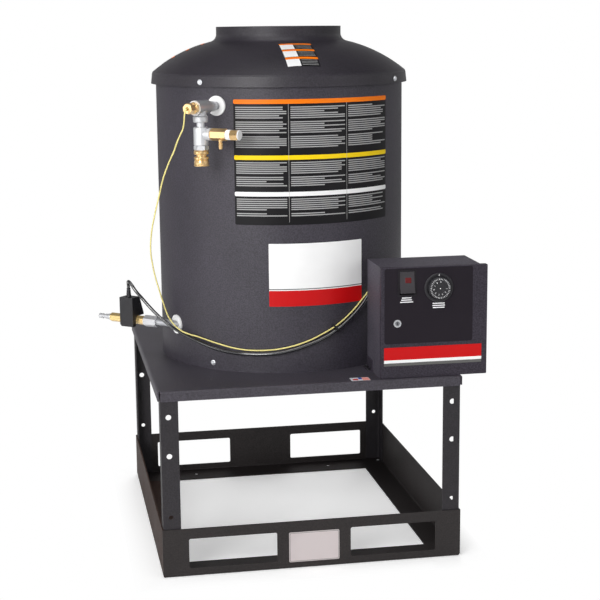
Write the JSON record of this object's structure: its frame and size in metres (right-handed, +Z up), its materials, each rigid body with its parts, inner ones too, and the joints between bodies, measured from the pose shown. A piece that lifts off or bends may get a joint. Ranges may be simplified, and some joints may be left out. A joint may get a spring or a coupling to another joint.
{
  "type": "pressure washer water heater",
  "caption": "Vertical coil water heater for a hot pressure washer: domed drum with flue collar on a sheet steel stand with fork openings, control box, flow switch and quick coupler.",
  "frame": {"origin": "centre of the stand's footprint, on the floor", "axes": "+X to the right when facing the control box, +Y to the back, +Z up"},
  "size_m": [0.8219, 0.765, 1.168],
  "materials": {
    "base_paint": "dark powder coat",
    "leg_paint": "dark powder coat",
    "drum_paint": "fine textured powder coat",
    "box_paint": "fine textured powder coat",
    "fibre": "mineral fibre board",
    "coil_steel": "mill finish",
    "burner_iron": "cast",
    "zinc_steel": "zinc plated",
    "brass": "machined",
    "lock_chrome": "polished",
    "white_plastic": "matt",
    "black_plastic": "matt",
    "rocker_plastic": "satin",
    "cable_rubber": "matt",
    "capillary_plastic": "coated"
  },
  "bodies": {
    "stand": {"base_front_rail": "base_paint", "base_back_rail": "base_paint", "base_left_rail": "base_paint", "base_right_rail": "base_paint", "leg_front_left": "leg_paint", "leg_front_right": "leg_paint", "leg_back_left": "leg_paint", "leg_back_right": "leg_paint", "deck": "leg_paint", "drum_shell": "drum_paint", "drum_lid": "drum_paint", "drum_foot_ring": "drum_paint", "insulation": "fibre", "heating_coil": "coil_steel", "coil_couplings": "coil_steel", "burner_ring": "burner_iron", "burner_bars": "burner_iron", "gas_pipe": "coil_steel", "outlet_grommet": "white_plastic", "outlet_pipe": "zinc_steel", "outlet_tee": "zinc_steel", "probe_bushing": "brass", "probe_gland_nut": "brass", "thermostat_bulb": "brass", "tee_nipple": "zinc_steel", "relief_tee": "zinc_steel", "relief_valve_body": "brass", "relief_lock_ring": "white_plastic", "relief_cap": "brass", "relief_end_cap": "white_plastic", "coupler_adapter": "zinc_steel", "coupler_body": "brass", "coupler_balls": "zinc_steel", "inlet_grommet": "white_plastic", "inlet_pipe": "zinc_steel", "inlet_coupling": "zinc_steel", "flow_body": "brass", "flow_switch_housing": "black_plastic", "strain_relief": "black_plastic", "inlet_plug": "zinc_steel", "box_body": "box_paint", "hinge_fixed": "box_paint", "box_bracket": "box_paint", "terminal_block": "white_plastic", "transformer": "burner_iron", "cord_grommets": "black_plastic", "switch_cable": "cable_rubber", "capillary": "capillary_plastic"},
    "door": {"box_door": "box_paint", "hinge_moving": "box_paint", "rocker_frame": "black_plastic", "thermostat_body": "zinc_steel", "thermostat_bezel": "black_plastic", "lock_body": "lock_chrome"},
    "rocker_switch": {"rocker": "rocker_plastic"},
    "dial": {"thermostat_dial": "black_plastic"},
    "lock": {"lock_cam": "lock_chrome"},
    "sleeve": {"coupler_sleeve": "brass"},
    "piston": {"flow_piston": "black_plastic"}
  },
  "joints": [
    {"name": "door_hinge", "type": "hinge", "parent": "stand", "child": "door", "pos_m": [0.382, -0.358, 0.537], "axis": [0, 0, 1], "range_deg": [0, 110]},
    {"name": "lock_turn", "type": "hinge", "parent": "door", "child": "lock", "pos_m": [0.1872, -0.36, 0.5368], "axis": [0, -1, 0], "range_deg": [0, 90]},
    {"name": "switch_rock", "type": "hinge", "parent": "door", "child": "rocker_switch", "pos_m": [0.209, -0.366, 0.6246], "axis": [1, 0, 0], "range_deg": [0, 20]},
    {"name": "dial_turn", "type": "hinge", "parent": "door", "child": "dial", "pos_m": [0.2795, -0.372, 0.6118], "axis": [0, 1, 0], "range_deg": [0, 270]},
    {"name": "sleeve_slide", "type": "slide", "parent": "stand", "child": "sleeve", "axis": [0, 0, 1], "range_m": [0, 0.004], "stiffness_N_per_m": 800, "springref_m": -0.004},
    {"name": "piston_slide", "type": "slide", "parent": "stand", "child": "piston", "axis": [0.766, -0.6428, 0], "range_m": [0, 0.008], "stiffness_N_per_m": 60, "springref_m": -0.003}
  ]
}
